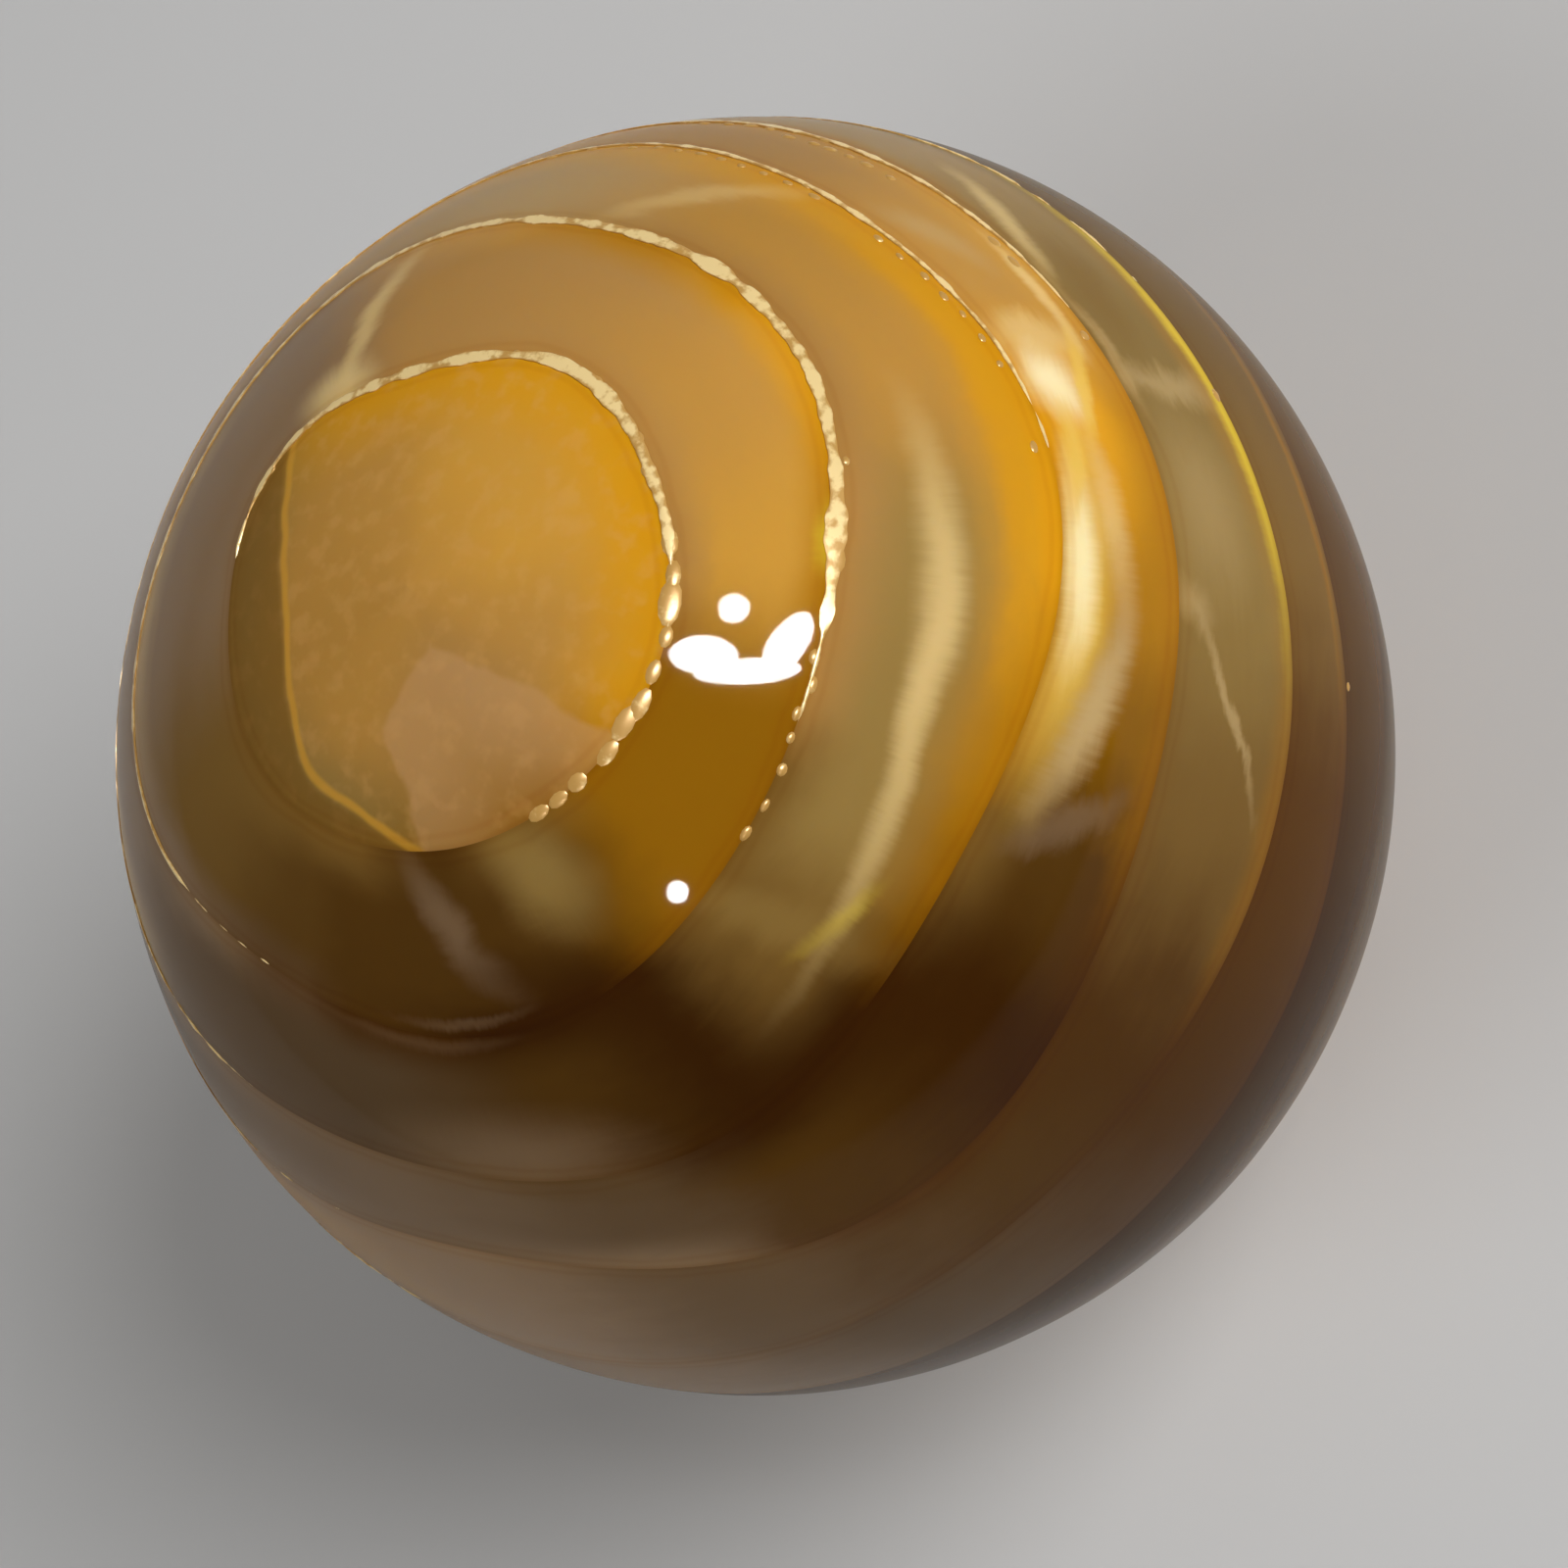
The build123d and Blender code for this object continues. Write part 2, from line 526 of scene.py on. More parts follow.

# Opal clouds, streaks, dark windows that are partly painted shade, and a few painted glints and a
# painted soft highlight in each layer: azimuth in degrees, share across the layer, reach along it in
# degrees, reach across it as a share, slope as the share it drops over its reach, colour, strength,
# and fuzz at its edge where it has more than the usual.
CLOUDS = {
    0: (
        (-120, 0.55, 42, 0.40, 0.0, TAN, 0.45),
    ),
    1: (
        (49, 0.48, 9, 0.20, -0.47, CREAM, 0.60),
        (57, 0.10, 11, 0.20, 0.0, CREAM, 0.70),
        (-57, 0.93, 6, 0.09, 0.0, LEMON, 0.60),
        (-129, 0.28, 10, 0.42, 0.15, OLIVE, 0.85),
        (-149, 0.42, 9, 0.24, 0.38, MAUVE, 0.62),
        # A pale line along the lower joint, painted as a soft glint.
        (-152, 0.92, 12, 0.04, 0.0, MAUVE, 0.35),
        (-20, 0.35, 40, 0.30, 0.0, CARAMEL, 0.40),
        # A dark patch, partly painted shade and a painted dark reflection on this side of the ball.
        (-136, 0.80, 14, 0.22, 0.20, UMBER, 0.60),
    ),
    2: (
        (-82, 0.54, 30, 0.10, -0.12, CREAM, 0.50),
        (-62, 0.47, 24, 0.13, -0.08, CREAM, 0.55),
        (-103, 0.62, 7, 0.07, 0.10, LEMON, 0.35),
        (4, 0.50, 12, 0.16, -0.55, CREAM, 0.30),
        (-40, 0.80, 34, 0.10, 0.0, HONEY, 0.60),
        (-152, 0.88, 17, 0.40, 0.0, MAUVE, 0.75),
        # A pale line along the upper joint, painted as a soft glint.
        (-160, 0.05, 16, 0.06, 0.0, MAUVE, 0.25),
        (-107, 0.35, 6, 0.45, 0.50, OLIVE, 0.45),
    ),
    3: (
        (-63, 0.20, 20, 0.26, 0.04, GLOW, 0.85),
        (-72, 0.42, 13, 0.17, 0.16, PEARL, 0.90, 0.09),
        (-83, 0.50, 5, 0.18, 0.30, MAUVE, 0.50),
        (-77, 0.94, 14, 0.16, 0.0, AMBER, 0.50),
        (-53, 0.46, 10, 0.16, -0.05, CREAM, 0.50, 0.09),
        (-58, 0.16, 12, 0.17, 0.0, MILK, 0.85, 0.06),
        (-33, 0.40, 4, 0.50, 0.0, CREAM, 0.55),
        (-39, 0.32, 5, 0.30, 0.0, MILK, 0.85),
        (-47, 0.22, 7, 0.12, 0.12, GLOW, 0.85),
        (-39, 0.60, 9, 0.09, 0.24, GLOW, 0.85),
        (-26, 0.84, 9, 0.09, 0.06, CREAM, 0.65),
        (-17, 0.40, 7, 0.22, -0.18, PEARL, 0.40),
    ),
    4: (
        (-50, 0.35, 10, 0.40, 0.0, PEARL, 0.30),
        (-27, 0.38, 9, 0.26, 0.10, HUSK, 0.55),
        # A pale curved streak across the layer, resin that is partly a painted soft highlight.
        (-68.5, 0.47, 8.5, 0.06, -0.34, PEARL, 0.55),
        (-60, 0.12, 3, 0.16, -0.08, PEARL, 0.40),
        (-38, 0.45, 2.4, 0.60, 0.0, PEARL, 0.50),
        (-16, 0.28, 11, 0.12, 0.24, CREAM, 0.50),
        (-34, 0.09, 8, 0.07, -0.03, PEARL, 0.50),
        (-38, 0.88, 24, 0.20, 0.0, BRONZE, 0.35),
        (-36, 0.96, 30, 0.11, 0.0, LEMON, 0.85),
        (-76, 0.95, 20, 0.16, 0.0, AMBER, 0.45),
    ),
    5: (
        (-46, 0.40, 12, 0.20, 0.0, HUSK, 0.40),
        (-42, 0.88, 26, 0.08, 0.0, BRONZE, 0.35),
    ),
    7: (
        (60, 0.5, 40, 0.3, 0.1, CREAM, 0.6),
        (-160, 0.5, 30, 0.4, 0.0, SMOKE, 0.6),
    ),
    8: (
        (-30, 0.5, 50, 0.25, 0.1, CREAM, 0.5),
        (120, 0.5, 30, 0.3, -0.1, LEMON, 0.5),
    ),
    9: (
        (160, 0.5, 50, 0.3, 0.0, SMOKE, 0.6),
        (20, 0.4, 30, 0.2, 0.1, CREAM, 0.6),
    ),
    10: (
        (90, 0.5, 40, 0.2, 0.1, CREAM, 0.5),
    ),
}
USUAL_FUZZ = 0.04  # how far the fibres fray a cloud's edge, as a share of the layer
FIBRE_RING = 28  # the radius in millimetres of the ring that the fibres are drawn on


def around_ramp(g, turn, tones, column):
    """The tones of one column, blended round the ball."""
    made = g.node("ShaderNodeValToRGB")
    g.feed(made.inputs[0], g.math("ADD", g.math("MULTIPLY", turn, 0.5 / pi), 0.5))
    stops = [(row[0], [level * row[1] for level in row[column][:3]] + [1.0]) for row in tones]
    first, last = stops[0], stops[-1]
    weight = (180 - last[0]) / (first[0] + 360 - last[0])
    seam = [a + (b - a) * weight for a, b in zip(last[1], first[1])]
    if first[0] > -180:
        stops.insert(0, (-180, seam))
    stops.append((180, seam))
    ramp = made.color_ramp
    ramp.interpolation = "EASE"
    while len(ramp.elements) < len(stops):
        ramp.elements.new(0.5)
    for element, (azimuth, colour) in zip(ramp.elements, stops):
        element.position = azimuth / 360 + 0.5
        element.color = colour
    return made.outputs[0]


def resin(index):
    """Translucent resin for one layer: tones round the ball, opal clouds and a deep polish."""
    g = Graph(f"resin_{LAYERS[index]}")
    place = g.place()
    share, below, above = g.strata()
    east, north, _ = g.split(place)
    turn = g.math("ARCTAN2", north, east)
    slow = g.noise(place, 0.16, 3.0, 0.55)
    wisp = g.noise(g.vector("MULTIPLY", place, (0.35, 0.35, 1.6)), 0.55, 4.0, 0.6, 0.6)

    drift = g.total(turn, (slow, 0.22), (wisp, 0.10))
    upper, middle, lower = (around_ramp(g, drift, TONES[index], column) for column in (2, 3, 4))
    upper_reach, lower_reach = REACHES[index]
    level = g.total(share, (slow, 0.20), (wisp, 0.12))
    colour = g.mix(g.ramp(level, 0.0, upper_reach, 1.0, 0.0), middle, upper)
    colour = g.mix(g.ramp(level, 1.0 - lower_reach, 0.98), colour, lower)
    fibre = fibres(g, place)
    for cloud in CLOUDS.get(index, ()):
        colour = lay_cloud(g, colour, cloud, (turn, share, slow, wisp, fibre))
    if index == 0:
        colour = cap_marks(g, place, colour)
    colour = joint_tints(g, colour, g.math("MINIMUM", below, above), slow)

    g.set(
        Base_Color=colour,
        Roughness=0.35,
        Specular_IOR_Level=0.0,
        Coat_Weight=0.48,
        Coat_Roughness=0.035,
        Coat_IOR=1.35,
        Subsurface_Weight=0.2,
        Subsurface_Radius=(1.0, 0.5, 0.15),
        Subsurface_Scale=0.8 * MM,
    )
    return g.material


def fibres(g, place):
    """Fine noise that is drawn out across the layer, so that it frays a cloud's edge."""
    ring = g.vector("NORMALIZE", g.vector("MULTIPLY", place, (1, 1, 0)))
    ring = g.vector("SCALE", ring, FIBRE_RING)
    return g.noise(g.vector("ADD", ring, g.vector("SCALE", place, 0.10)), 2.6, 3.0, 0.6)


def lay_cloud(g, colour, cloud, field):
    """Lays one soft oval cloud over a layer's colour.

    The field is the place round the ball, the share across the layer, and three kinds of noise.
    """
    azimuth, across, long_reach, wide_reach, slope, shade, strength, *fuzz = cloud
    turn, share, slow, wisp, fibre = field
    off = g.math("WRAP", g.math("SUBTRACT", turn, radians(azimuth)), pi, -pi)
    u = g.math("DIVIDE", g.total(off, (wisp, 0.10)), radians(long_reach))
    v = g.total(share, (slow, 0.18), (fibre, fuzz[0] if fuzz else USUAL_FUZZ), (u, -slope))
    v = g.math("DIVIDE", g.math("SUBTRACT", v, across), wide_reach)
    far = g.math("SQRT", g.math("ADD", g.math("MULTIPLY", u, u), g.math("MULTIPLY", v, v)))
    return g.mix(g.ramp(far, 0.1, 1.25, strength, 0.0), colour, shade)


def joint_tints(g, colour, near, slow):
    """Warms the resin near its joints, and draws a faint second line beside them."""
    warmed = g.vector("MULTIPLY", colour, WARM_TINT)
    colour = g.mix(g.ramp(near, 0.2, 1.3, 0.3, 0.0), colour, warmed)
    edged = g.vector("MULTIPLY", colour, EDGE_TINT)
    colour = g.mix(g.ramp(near, 0.05, 0.30, 0.4, 0.0), colour, edged)
    second = g.math("ABSOLUTE", g.total(near, (slow, 0.8), (1.0, -SECOND_LINE)))
    lined = g.vector("MULTIPLY", colour, LINE_TINT)
    return g.mix(g.ramp(second, 0.02, 0.20, 0.18, 0.0), colour, lined)


def cap_marks(g, place, colour):
    """The small cap's mottled body, the facet edge that shows through it, and a painted pale
    reflection.
    """
    spots = g.ramp(g.noise(place, 1.1, 2.0, 0.5), -0.05, 0.22, 0.0, 0.24)
    colour = g.mix(spots, colour, MOTTLE)

    facet, side = (beyond(g, place, *plane) for plane in FACET_PLANES)
    edge = g.total(g.math("SMOOTH_MAX", facet, side, 1.5), (g.noise(place, 0.3), 0.8))
    colour = g.mix(g.ramp(edge, -0.1, 0.5, 0.0, 0.75), colour, FACET_SHADE)
    line = g.ramp(g.math("ABSOLUTE", edge), 0.05, 0.28, 0.75, 0.0)
    colour = g.mix(line, colour, FACET_LINE)

    # Painted reflection: a pale patch laid over the cap between three upright planes.
    left, near, top = (beyond(g, place, *plane) for plane in REFLECTION_PLANES)
    reflection = g.math("MINIMUM", g.math("SMOOTH_MIN", left, near, 0.8), top)
    reflection = g.total(reflection, (g.noise(place, 0.4), 1.2))
    fade = g.ramp(reflection, 0.6, 5.0, 0.42, 0.12)
    return g.mix(g.math("MULTIPLY", g.ramp(reflection, 0.0, 0.35), fade), colour, REFLECTION_TINT)


def beyond(g, place, way, distance):
    """How far a point lies beyond an upright plane, in millimetres."""
    return g.math("SUBTRACT", g.vector("DOT_PRODUCT", place, way), distance)


DULLED = (0.62, 0.46, 0.26)  # the gold's dull tone, as shares of its red, green and blue


def gold_leaf(colours):
    """Pale satin gold with an uneven tone, painted bright on its lumps and crests as glints and dull
    between them.
    """
    g = Graph("gold_leaf")
    lump, crest, _ = g.strata()
    # Painted glints: the lumps and the crest of each line get the full bright gold, the rest the dull
    # tone.
    tone = g.total(g.noise(g.place(), 2.2, 3.0), (lump, 0.25), (crest, 0.30))
    dull = [level * share for level, share in zip(colours.gold, DULLED)] + [1.0]
    g.set(
        Base_Color=g.mix(g.ramp(tone, 0.05, 0.32), dull, [*colours.gold, 1.0]),
        Metallic=0.1,
        Roughness=0.28,
        Specular_IOR_Level=0.3,
    )
    return g.material


def amber_glue(colours):
    """Clear amber glue."""
    g = Graph("amber_glue")
    deep = [level * 0.5 for level in colours.amber] + [1.0]
    tone = g.ramp(g.noise(g.place(), 0.5, 3.0), -0.25, 0.25)
    g.set(
        Base_Color=g.mix(tone, deep, [*colours.amber, 1.0]),
        Roughness=0.2,
        Coat_Weight=0.6,
    )
    return g.material


# ------------------------------------------------------------ pieces


class CUEBALL_OT_layers(bpy.types.Operator):
    """Turn and polish the resin layers"""

    bl_idname = "cueball.layers"
    bl_label = "Resin Layers"

    def execute(self, context):
        for index, node in enumerate(LAYERS):
            bm = self.layer(index, context.scene.ball_sizes)
            add_piece(f"{node}_polished", bm, node, resin(index), crease=12)
        return {"FINISHED"}

    def layer(self, index, sizes):
        """One layer: a turned zone of the ball whose edges follow the wandering joints."""
        width = (low_polar(index, 0.0) - top_polar(index, 0.0)) * BALL_RADIUS
        outer = max(FEWEST_ROWS, round(width / ROW_HEIGHT))
        face = (0.0, *FACE_ROWS)
        profile = [(0.0, inward) for inward in face if index]
        profile += [(row / outer, 1.0) for row in range(outer + 1)]
        profile += [(1.0, inward) for inward in reversed(face) if index + 1 < len(LAYERS)]

        def place(row, azimuth):
            return self.settled(index, *profile[row], azimuth, sizes)

        return rolled(len(profile), steps_around(sizes), place)

    def settled(self, index, share, inward, azimuth, sizes):
        """Where a corner goes, and its mark.

        The mark is its share across the layer, and its distances in millimetres below the upper
        joint and above the lower one.
        """
        top, low = top_polar(index, azimuth), low_polar(index, azimuth)
        polar = top + (low - top) * share
        below = (polar - top) * BALL_RADIUS if index else FAR
        above = (low - polar) * BALL_RADIUS if index + 1 < len(LAYERS) else FAR
        direction = unit(polar, azimuth)
        dip = dip_near(min(below, above), sizes)
        corner = direction * (BALL_RADIUS - dip - ripple_at(direction, sizes))
        if inward < 1.0:
            joint = joints[index if share == 0.0 else index + 1]
            corner = Vector((0, 0, joint.middle)).lerp(corner, inward)
        return corner, Vector((share, below / MM, above / MM))


class CUEBALL_OT_amber_sheets(bpy.types.Operator):
    """Lay the amber glue sheets into the joints"""

    bl_idname = "cueball.amber_sheets"
    bl_label = "Amber Sheets"

    def execute(self, context):
        sizes = context.scene.ball_sizes
        material = amber_glue(context.scene.ball_colours)
        radius = BALL_RADIUS - sizes.edge_dip - GLUE_SETBACK
        face = (0.0, *FACE_ROWS, 1.0)
        profile = [(share, GLUE_HALF) for share in face]
        profile += [(share, -GLUE_HALF) for share in reversed(face)]
        for number, joint in joints.items():

            def place(row, azimuth):
                share, lift = profile[row]
                edge = unit(joint.polar(azimuth), azimuth) * radius
                middle = Vector((0, 0, joint.middle))
                return middle.lerp(edge, share) + Vector((0, 0, lift)), Vector()

            bm = rolled(len(profile), steps_around(sizes), place)
            add_piece(f"glue_{number:02d}", bm, f"amber_sheet_{number:02d}", material)
        return {"FINISHED"}


# How much gold each line carries round the ball, from the top: azimuth in degrees and share of the
# full width.
GOLD = (
    (
        (-170, 0.10), (-130, 0.06), (-112, 0.08), (-85, 0.12), (-62, 0.20), (-52, 0.66),
        (-35, 0.84), (-12, 0.84), (2, 0.75), (10, 0.70), (30, 0.80), (55, 0.80), (72, 0.50),
        (92, 0.30), (110, 0.10),
    ),
    (
        (-170, 0.10), (-120, 0.10), (-90, 0.12), (-76, 0.25), (-66, 0.60), (-57, 1.60),
        (-48, 0.80), (-30, 0.70), (-15, 0.90), (10, 0.85), (40, 0.70), (80, 0.50), (130, 0.40),
        (160, 0.20),
    ),
    (
        (-170, 0.10), (-120, 0.06), (-80, 0.08), (-50, 0.15), (-30, 0.30), (-8, 0.45), (15, 0.45),
        (40, 0.40), (90, 0.50), (140, 0.30),
    ),
    (
        (-170, 0.10), (-120, 0.06), (-70, 0.08), (-35, 0.15), (-15, 0.32), (5, 0.60), (25, 0.50),
        (80, 0.40), (140, 0.40),
    ),
    (
        (-160, 0.10), (-100, 0.08), (-40, 0.10), (-5, 0.25), (30, 0.50), (80, 0.35), (140, 0.50),
    ),
    (
        (-155, 0.12), (-100, 0.10), (-20, 0.12), (50, 0.70), (120, 0.35),
    ),
    (
        (-165, 0.12), (-90, 0.10), (-15, 0.12), (50, 0.50), (130, 0.60),
    ),
    (
        (-160, 0.12), (-80, 0.10), (-10, 0.12), (70, 0.45), (140, 0.55),
    ),
    (
        (-165, 0.12), (-70, 0.10), (0, 0.30), (60, 0.60), (140, 0.35),
    ),
    (
        (-150, 0.35), (-60, 0.40), (40, 0.80), (120, 0.40),
    ),
    (
        (-110, 0.80), (0, 0.45), (100, 0.85),
    ),
)

# Strands of gold grains on or beside the joint lines: joint number, azimuths in degrees where the
# strand starts and stops, millimetres below the joint line, and size as a share.
STRANDS = (
    (1, -122, -56, 0.0, 3.0),
    (2, -100, -76, 0.0, 0.9),
    (2, -74, -64, 0.0, 1.8),
    (2, -60, -54, 0.1, 2.2),
    (2, -46, -43, 0.55, 0.9),
    (3, -46, -44, -0.65, 1.1),
    (3, -36, -14, -0.45, 0.5),
    (3, -6, 22, -0.50, 0.6),
    (4, -33, -32, -0.3, 1.0),
    (4, -23, -19, -0.55, 1.3),
    (4, -7, 9, -0.95, 1.2),
    (4, 10, 18, -0.4, 1.0),
    (5, -38, -37, -0.2, 0.7),
    (6, -62, -61, 0.2, 0.6),
)


def gold_share(number, azimuth):
    """How much gold a line carries at an azimuth, blended between its stations."""
    stations = GOLD[number - 1]
    angle = degrees(azimuth)
    start, share = stations[-1]
    start -= 360
    for stop, next_share in (*stations, (stations[0][0] + 360, stations[0][1])):
        if angle <= stop:
            blend = 0.5 - 0.5 * cos(pi * (angle - start) / (stop - start))
            return share + (next_share - share) * blend
        start, share = stop, next_share
    return share


class CUEBALL_OT_gold_lines(bpy.types.Operator):
    """Fill the joint lines with gold"""

    bl_idname = "cueball.gold_lines"
    bl_label = "Gold Lines"

    def execute(self, context):
        sizes = context.scene.ball_sizes
        material = gold_leaf(context.scene.ball_colours)
        for number, joint in joints.items():

            def place(row, azimuth):
                return self.laid(number, joint, 2 * pi * row / LINE_CORNERS, azimuth, sizes)

            bm = rolled(LINE_CORNERS + 1, 3 * steps_around(sizes), place)
            add_piece(f"gold_line_{number:02d}", bm, f"gold_rim_{number:02d}", material)
        return {"FINISHED"}

    def laid(self, number, joint, turn, azimuth, sizes):
        """Where a corner of a lumpy gold line goes, and its mark: its lump, and how far up it is.

        A line sinks out of sight where it carries little gold.
        """
        polar = joint.polar(azimuth)
        around = Vector((cos(azimuth), sin(azimuth), number)) * sin(polar)
        lump = noise.noise(around * 26) + 0.4 * noise.noise(around * 60)
        share = gold_share(number, azimuth)
        half = sizes.line_width / 2 * share * max(THINNEST, 1 + 0.7 * lump)
        tall = sizes.line_height * max(THINNEST, 1 + 0.9 * lump)
        sunk = LINE_SINKING * max(0.0, FULL_ENOUGH - share)
        polar += (LINE_WAVER * noise.noise(around * 9) - half * sin(turn)) / BALL_RADIUS
        surface = BALL_RADIUS - dip_near(half, sizes) - ripple_at(unit(polar, azimuth), sizes)
        out = min(surface - sunk + LINE_LIFT + tall * cos(turn), BALL_RADIUS)
        return unit(polar, azimuth) * out, Vector((lump, cos(turn), 0))


class CUEBALL_OT_gold_grains(bpy.types.Operator):
    """Scatter gold grains along the joint lines"""

    bl_idname = "cueball.gold_grains"
    bl_label = "Gold Grains"

    def execute(self, context):
        sizes = context.scene.ball_sizes
        material = gold_leaf(context.scene.ball_colours)
        for number, joint in joints.items():
            draw = random.Random(GRAIN_SEED + number)
            bm = bmesh.new()
            azimuth = -pi
            while azimuth < pi:
                share = gold_share(number, azimuth)
                if share > FEWEST_GRAINS and draw.random() < share:
                    self.grain(bm, joint, azimuth, draw.gauss(0, 0.10), share, draw, sizes)
                step = draw.uniform(0.6, 1.7) * MM / self.ring_radius(joint, azimuth)
                azimuth += step / (0.3 + 0.7 * share)
            for _, start, stop, offset, share in (strand for strand in STRANDS if strand[0] == number):
                azimuth = radians(start)
                while azimuth <= radians(stop):
                    self.grain(bm, joint, azimuth, offset + draw.gauss(0, 0.06), share, draw, sizes)
                    azimuth += draw.uniform(0.9, 1.6) * MM / self.ring_radius(joint, azimuth)
            add_piece(f"gold_grains_{number:02d}", bm, None, material)
        return {"FINISHED"}

    def ring_radius(self, joint, azimuth):
        """How far a joint line lies from the ball's upright axis."""
        return sin(joint.polar(azimuth)) * BALL_RADIUS

    def grain(self, bm, joint, azimuth, offset, share, draw, sizes):
        """One flattened grain at an offset in millimetres below a joint line."""
        size = sizes.grain_radius * (0.35 + 0.65 * share) * draw.uniform(0.7, 1.25)
        polar = joint.polar(azimuth) + offset * MM / BALL_RADIUS
        out = unit(polar, azimuth)
        along = Vector((-sin(azimuth), cos(azimuth), 0))
        across = out.cross(along)
        tall = min(size * 0.5, TALLEST_GRAIN)
        surface = BALL_RADIUS - dip_near(abs(offset) * MM, sizes) - ripple_at(out, sizes)
        centre = out * min(surface + GRAIN_LIFT, BALL_RADIUS - tall)
        stretch = draw.uniform(1.0, 1.7)
        shape = Matrix((along * size * stretch, across * size * 0.85, out * tall)).transposed()
        settled = Matrix.Translation(centre) @ shape.to_4x4()
        bmesh.ops.create_uvsphere(bm, u_segments=10, v_segments=6, radius=1.0, matrix=settled)


# ------------------------------------------------------------ studio

VIEW_TILT = radians(32)  # of the camera away from straight above the ball
VIEW_ROLL = radians(64)
VIEW_BACK = Vector((0, -sin(VIEW_TILT), cos(VIEW_TILT)))
VIEW_UP = Vector((sin(VIEW_ROLL), cos(VIEW_ROLL) * cos(VIEW_TILT), cos(VIEW_ROLL) * sin(VIEW_TILT)))
VIEW_RIGHT = VIEW_UP.cross(VIEW_BACK)
CAMERA_DISTANCE = 6 * BALL_RADIUS
CAMERA_LENS = 87.0
AIM_OFFSET = 1.23 * MM  # right and down of the ball's middle in the view
LAMP_DISTANCE = 0.6
FLOOR_RADIUS = 2.5
ROOM_COLOUR = (1.0, 0.97, 0.93, 1.0)
ROOM_LIGHT = 0.14


def mirrored(across, up):
    """The direction of a lamp that the polish mirrors at a place on the ball.

    The place is given in ball radii to the right of the ball's middle and up from it in the view.
    """
    surface = Vector((across, up, sqrt(1 - across**2 - up**2)))
    view = Vector((0, 0, CAMERA_DISTANCE / BALL_RADIUS)) - surface
    view.normalize()
    return surface * (2 * surface.dot(view)) - view


# The lamps: name, direction as right, up and back of the view, distance, width, height, turn in
# degrees, watts, and whether it only marks the polish. The others only light the colours.
LAMPS = (
    ("softbox", (0.35, 0.45, 0.82), 0.9, 0.6, 0.6, 0, 7.0, False),
    ("fill", (-0.75, -0.35, 0.55), 1.2, 0.8, 0.8, 0, 3.4, False),
    ("lamp_left", mirrored(-0.070, 0.135), LAMP_DISTANCE, 0.125, 0.066, -4, 2.2, True),
    ("lamp_right", mirrored(0.043, 0.146), LAMP_DISTANCE, 0.125, 0.070, 55, 2.2, True),
    ("lamp_join", mirrored(-0.008, 0.112), LAMP_DISTANCE, 0.19, 0.045, 2, 2.1, True),
    ("lamp_dot", mirrored(-0.029, 0.195), LAMP_DISTANCE, 0.052, 0.052, 0, 0.7, True),
    ("lamp_low", mirrored(-0.098, -0.180), LAMP_DISTANCE, 0.040, 0.040, 0, 0.5, True),
)


def facing(back):
    """The turn of a camera or a lamp that has a direction at its back, upright in the view."""
    back = back.normalized()
    right = VIEW_UP.cross(back).normalized()
    return Matrix((right, back.cross(right), back)).transposed().to_4x4()


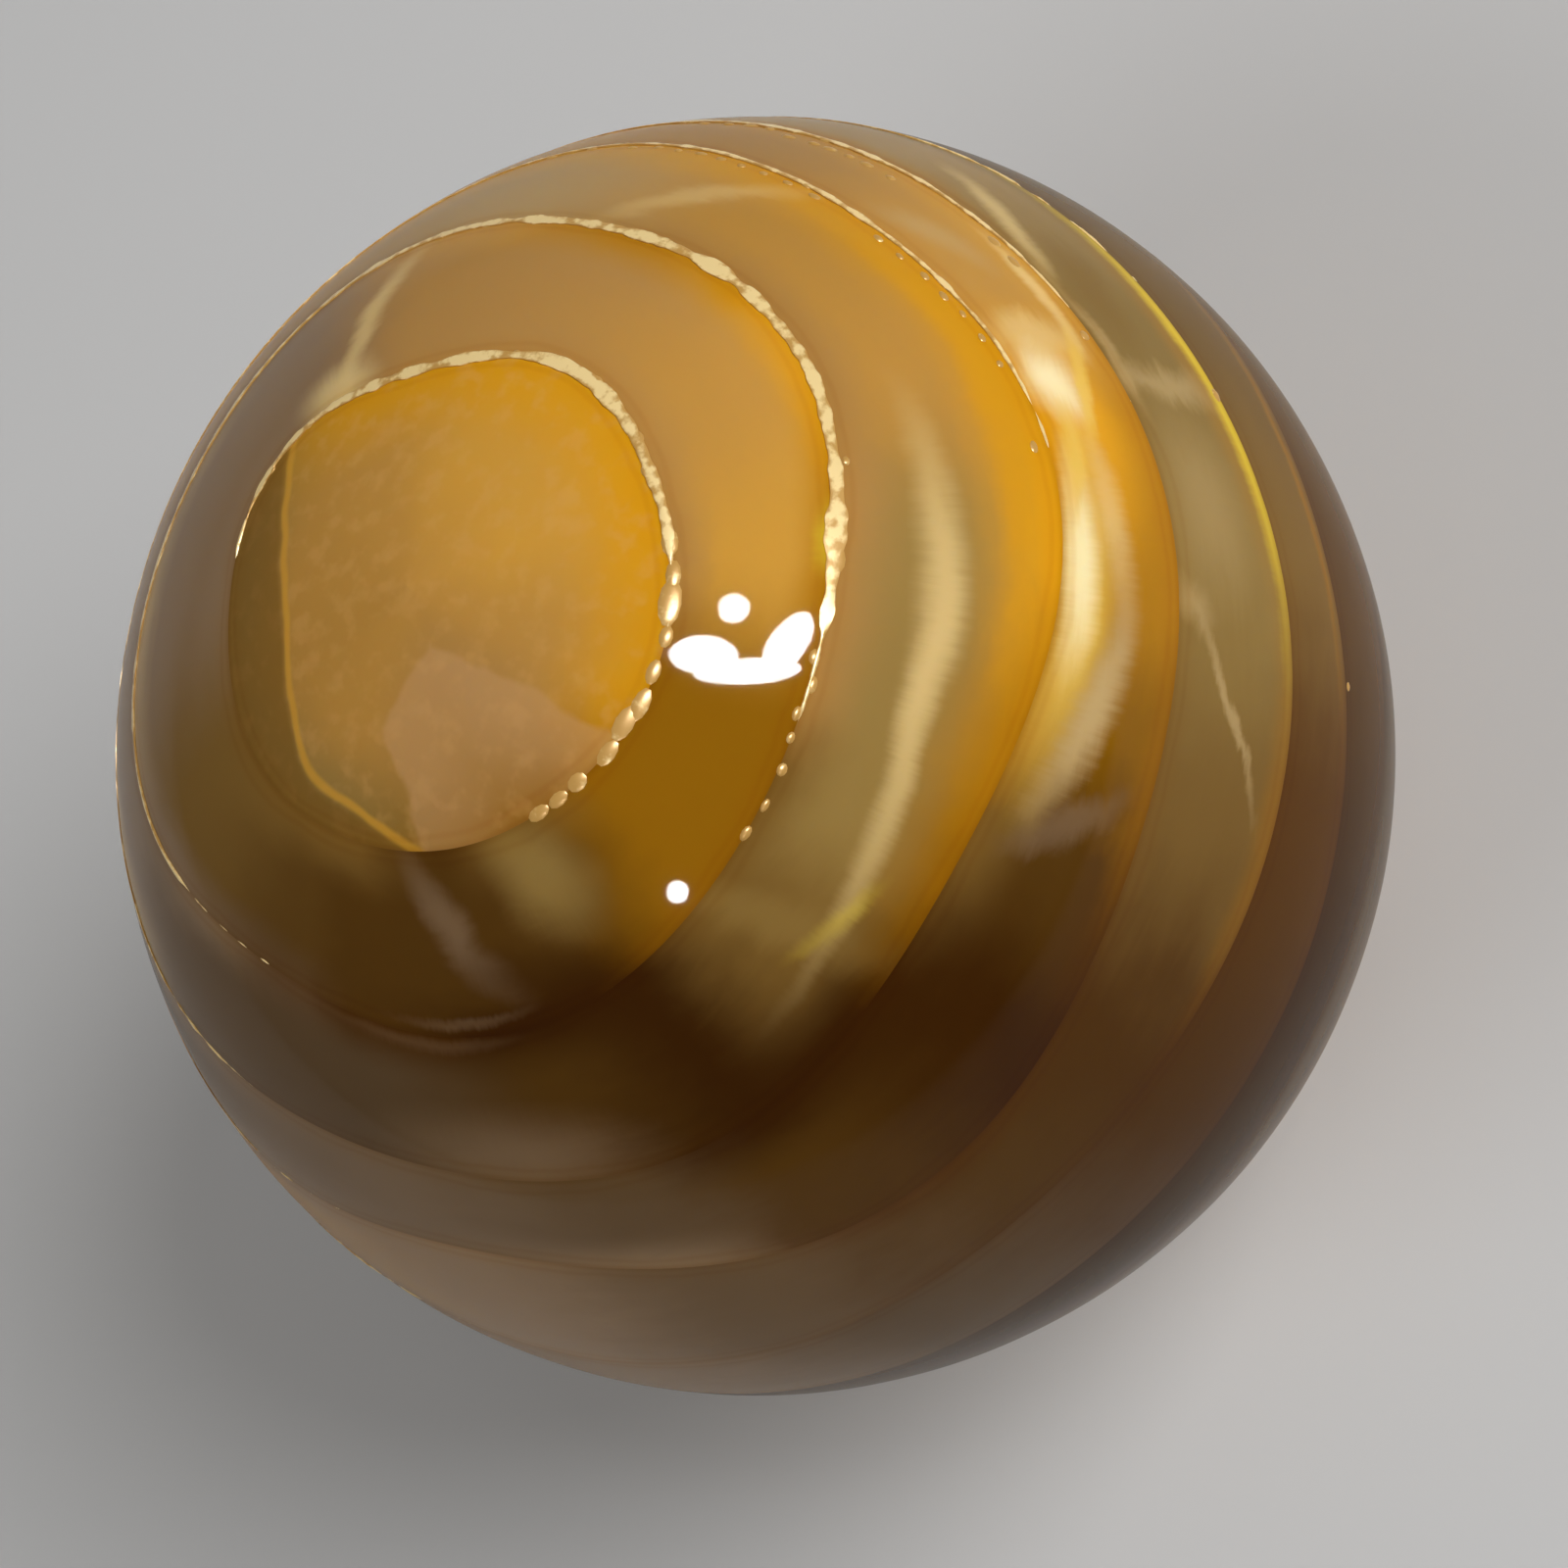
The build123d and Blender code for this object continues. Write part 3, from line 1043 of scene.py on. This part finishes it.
class CUEBALL_OT_stage(bpy.types.Operator):
    """Set up the floor, the lights and the camera"""

    bl_idname = "cueball.stage"
    bl_label = "Studio"

    def execute(self, context):
        scene = context.scene
        scene.view_settings.view_transform = "Standard"
        self.floor(scene)
        self.camera(scene)
        self.lights(scene)
        return {"FINISHED"}

    def floor(self, scene):
        """A wide pale floor that the ball rests on."""
        bm = bmesh.new()
        low = Matrix.Translation((0, 0, -BALL_RADIUS))
        bmesh.ops.create_circle(bm, cap_ends=True, segments=96, radius=FLOOR_RADIUS, matrix=low)
        mesh = bpy.data.meshes.new("floor")
        bm.to_mesh(mesh)
        bm.free()
        floor = bpy.data.objects.new("floor", mesh)
        scene.collection.objects.link(floor)
        g = Graph("studio_floor")
        g.set(Base_Color=[*scene.ball_colours.floor, 1.0], Roughness=0.8)
        mesh.materials.append(g.material)

    def camera(self, scene):
        """Looks down on the ball, rolled so that the top cap lies towards the upper left."""
        data = bpy.data.cameras.new("camera")
        camera = bpy.data.objects.new("camera", data)
        scene.collection.objects.link(camera)
        data.lens = CAMERA_LENS
        data.clip_start = 0.01
        where = VIEW_BACK * CAMERA_DISTANCE
        aim = (VIEW_RIGHT - VIEW_UP) * AIM_OFFSET
        camera.matrix_world = Matrix.Translation(where) @ facing(where - aim)
        scene.camera = camera

    def lights(self, scene):
        """Soft room light, two broad lamps, and the small ones that leave marks on the polish."""
        world = bpy.data.worlds.new("room")
        world.use_nodes = True
        background = world.node_tree.nodes["Background"]
        background.inputs["Color"].default_value = ROOM_COLOUR
        background.inputs["Strength"].default_value = ROOM_LIGHT
        scene.world = world
        for name, way, distance, wide, tall, turn, watts, mirrors in LAMPS:
            data = bpy.data.lights.new(name, "AREA")
            data.shape = "ELLIPSE"
            data.size, data.size_y, data.energy = wide, tall, watts
            lamp = bpy.data.objects.new(name, data)
            scene.collection.objects.link(lamp)
            back = (VIEW_RIGHT * way[0] + VIEW_UP * way[1] + VIEW_BACK * way[2]).normalized()
            spin = Matrix.Rotation(radians(turn), 4, "Z")
            lamp.matrix_world = Matrix.Translation(back * distance) @ facing(back) @ spin
            lamp.visible_glossy = mirrors
            lamp.visible_diffuse = not mirrors


# ------------------------------------------------------------ panel and running


class CUEBALL_PT_panel(bpy.types.Panel):
    """Lists the ball's sizes, colours and making steps"""

    bl_idname = "CUEBALL_PT_panel"
    bl_label = "Cue Ball"
    bl_space_type = "VIEW_3D"
    bl_region_type = "UI"
    bl_category = "Cue Ball"

    def draw(self, context):
        for group in (context.scene.ball_sizes, context.scene.ball_colours):
            box = self.layout.box()
            for name in group.__annotations__:
                box.prop(group, name)
        for step in STEPS:
            self.layout.operator(step.bl_idname)


STEPS = (
    CUEBALL_OT_stage,
    CUEBALL_OT_layers,
    CUEBALL_OT_amber_sheets,
    CUEBALL_OT_gold_lines,
    CUEBALL_OT_gold_grains,
)
CLASSES = (BallSizes, BallColours, *STEPS, CUEBALL_PT_panel)


def register():
    """Adds the classes and their settings to Blender."""
    for cls in CLASSES:
        bpy.utils.register_class(cls)
    bpy.types.Scene.ball_sizes = bpy.props.PointerProperty(type=BallSizes)
    bpy.types.Scene.ball_colours = bpy.props.PointerProperty(type=BallColours)


def unregister():
    """Takes the classes and their settings out again."""
    del bpy.types.Scene.ball_colours
    del bpy.types.Scene.ball_sizes
    for cls in reversed(CLASSES):
        bpy.utils.unregister_class(cls)


def main():
    register()
    bpy.ops.cueball.stage()
    bpy.ops.cueball.layers()
    bpy.ops.cueball.amber_sheets()
    bpy.ops.cueball.gold_lines()
    bpy.ops.cueball.gold_grains()


if __name__ == "__main__":
    main()
